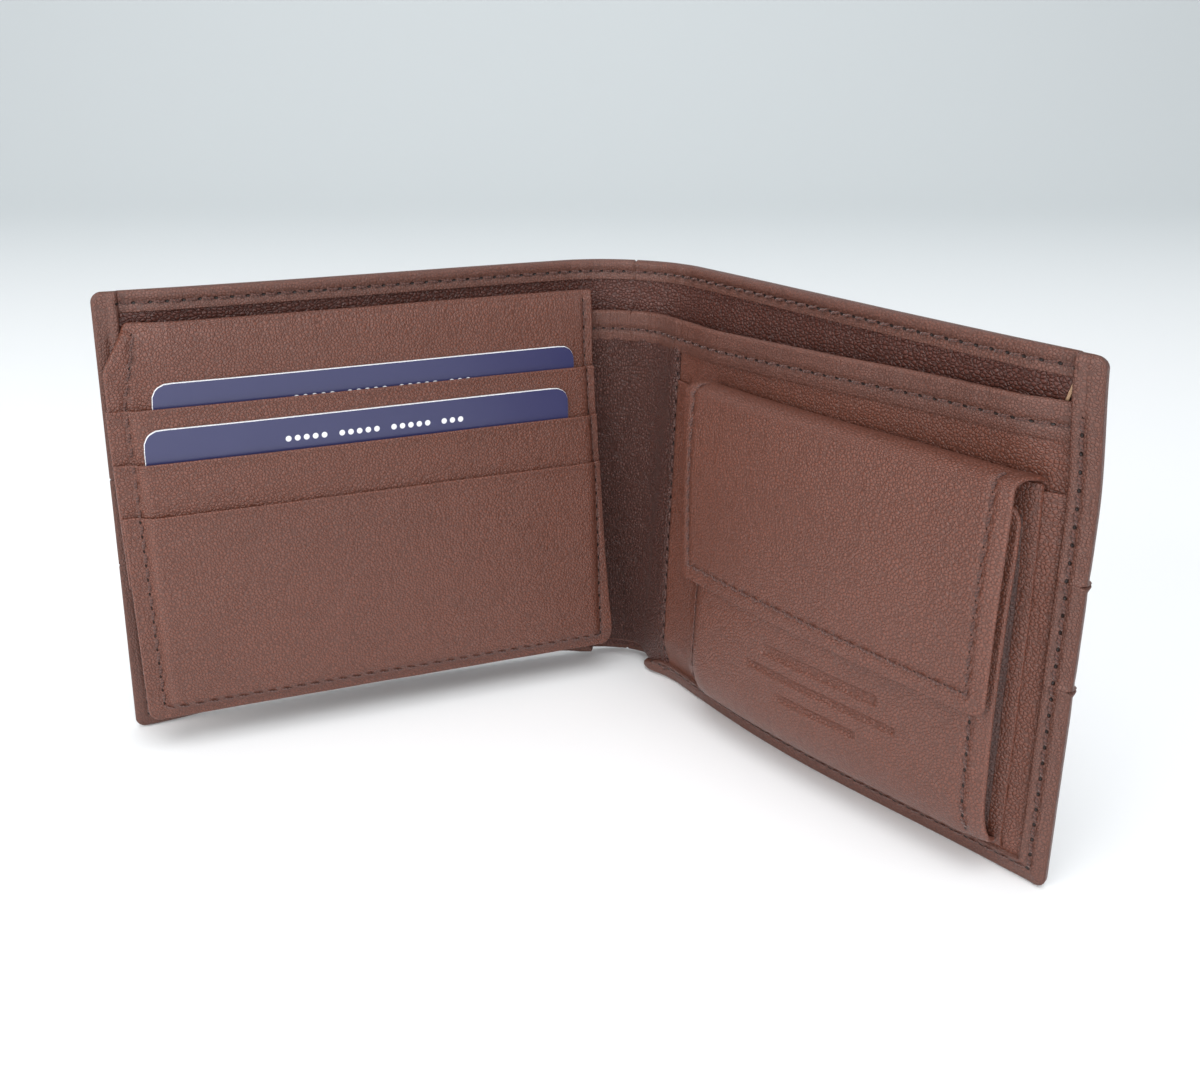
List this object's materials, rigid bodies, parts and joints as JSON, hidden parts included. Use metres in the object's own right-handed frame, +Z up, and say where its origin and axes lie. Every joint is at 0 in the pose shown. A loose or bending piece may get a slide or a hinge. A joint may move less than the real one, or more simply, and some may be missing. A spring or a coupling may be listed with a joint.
{
  "type": "bifold wallet",
  "caption": "Brown leather bifold wallet standing open, with a bill compartment, a flip-up card wing with slots and a flapped coin pouch.",
  "frame": {"origin": "on the floor at the foot of the spine, halfway through the cover leather", "axes": "+Z up along the spine, +X from the spine along the coin half, -Y towards the inside of the coin half; the card half runs towards -Y and slightly -X"},
  "size_m": [0.1334, 0.1133, 0.09],
  "materials": {
    "outer_leather": "smooth nappa",
    "panel_leather": "fine grain nappa",
    "pebbled_leather": "pebbled lining leather",
    "stiffener_board": "bonded fibre",
    "thread": "twisted polyester",
    "card_plastic": "satin navy",
    "snap_brass": "polished"
  },
  "bodies": {
    "coin_half": {"cover_lower_coin_side": "outer_leather", "cover_band_coin_side": "outer_leather", "cover_upper_coin_side": "outer_leather", "stiffener_coin_side": "stiffener_board", "bill_lining_coin_side": "pebbled_leather", "divider_coin_side": "panel_leather", "divider_binding_coin_side": "panel_leather", "slip_pocket": "panel_leather", "coin_pouch_back": "panel_leather", "coin_flap_hinge": "panel_leather", "coin_pouch_gusset_inner": "pebbled_leather", "coin_pouch_gusset_outer": "pebbled_leather", "hem_stitching_coin_side": "thread", "binding_stitching_coin_side": "thread"},
    "spine": {"cover_lower_spine": "outer_leather", "cover_band_spine": "outer_leather", "cover_upper_spine": "outer_leather", "cover_bend_coin_side": "outer_leather", "cover_bend_card_side": "outer_leather", "bill_lining_spine": "pebbled_leather", "divider_spine": "pebbled_leather", "divider_binding_spine": "panel_leather"},
    "card_half": {"cover_lower_card_side": "outer_leather", "cover_band_card_side": "outer_leather", "cover_upper_card_side": "outer_leather", "stiffener_card_side": "stiffener_board", "bill_lining_card_side": "pebbled_leather", "divider_card_side": "panel_leather", "divider_binding_card_side": "panel_leather", "hem_stitching_card_side": "thread", "wing_hinge": "panel_leather"},
    "card_wing": {"wing_back": "panel_leather", "wing_top_panel": "panel_leather", "upper_slot_strip": "panel_leather", "middle_slot_strip": "panel_leather", "lower_slot_panel": "panel_leather", "wing_stitching": "thread"},
    "upper_card": {"upper_card": "card_plastic"},
    "lower_card": {"lower_card": "card_plastic"},
    "coin_flap": {"coin_flap": "panel_leather", "coin_flap_lining": "pebbled_leather", "snap_socket": "snap_brass", "flap_stitching": "thread"},
    "pouch_front": {"coin_pouch_front": "panel_leather", "snap_stud": "snap_brass"}
  },
  "joints": [
    {"name": "fold_coin_side", "type": "hinge", "parent": "coin_half", "child": "spine", "pos_m": [0.01168, 0.00411, 0], "axis": [0, 0, -1], "range_deg": [-47.5, 40], "deforming": ["cover_bend_coin_side", "cover_bend_card_side", "bill_lining_spine", "divider_spine", "divider_binding_spine"]},
    {"name": "fold_card_side", "type": "hinge", "parent": "spine", "child": "card_half", "pos_m": [-0.00607, -0.01079, 0], "axis": [0, 0, -1], "range_deg": [-47.5, 40], "deforming": ["cover_bend_coin_side", "cover_bend_card_side", "bill_lining_spine", "divider_spine", "divider_binding_spine"]},
    {"name": "wing_lift", "type": "hinge", "parent": "card_half", "child": "card_wing", "pos_m": [-0.00959, -0.05535, 0.0832], "axis": [0.1736, 0.9848, 0], "range_deg": [-160, 0], "deforming": ["wing_hinge"]},
    {"name": "upper_card_slide", "type": "slide", "parent": "card_wing", "child": "upper_card", "axis": [0, 0, 1], "range_m": [0, 0.045]},
    {"name": "lower_card_slide", "type": "slide", "parent": "card_wing", "child": "lower_card", "axis": [0, 0, 1], "range_m": [0, 0.045]},
    {"name": "flap_lift", "type": "hinge", "parent": "coin_half", "child": "coin_flap", "pos_m": [0.06593, -0.00362, 0.0693], "axis": [-1, 0, 0], "range_deg": [0, 170], "deforming": ["coin_flap_hinge"]},
    {"name": "pouch_open", "type": "hinge", "parent": "coin_half", "child": "pouch_front", "pos_m": [0.06593, -0.00084, 0.007], "axis": [1, 0, 0], "range_deg": [0, 7], "deforming": ["coin_pouch_gusset_inner", "coin_pouch_gusset_outer"]}
  ],
  "couplings": [
    {"joint": "fold_card_side", "follows": "fold_coin_side", "ratio": 1},
    {"joint": "pouch_open", "follows": "flap_lift", "ratio": 0.041}
  ]
}
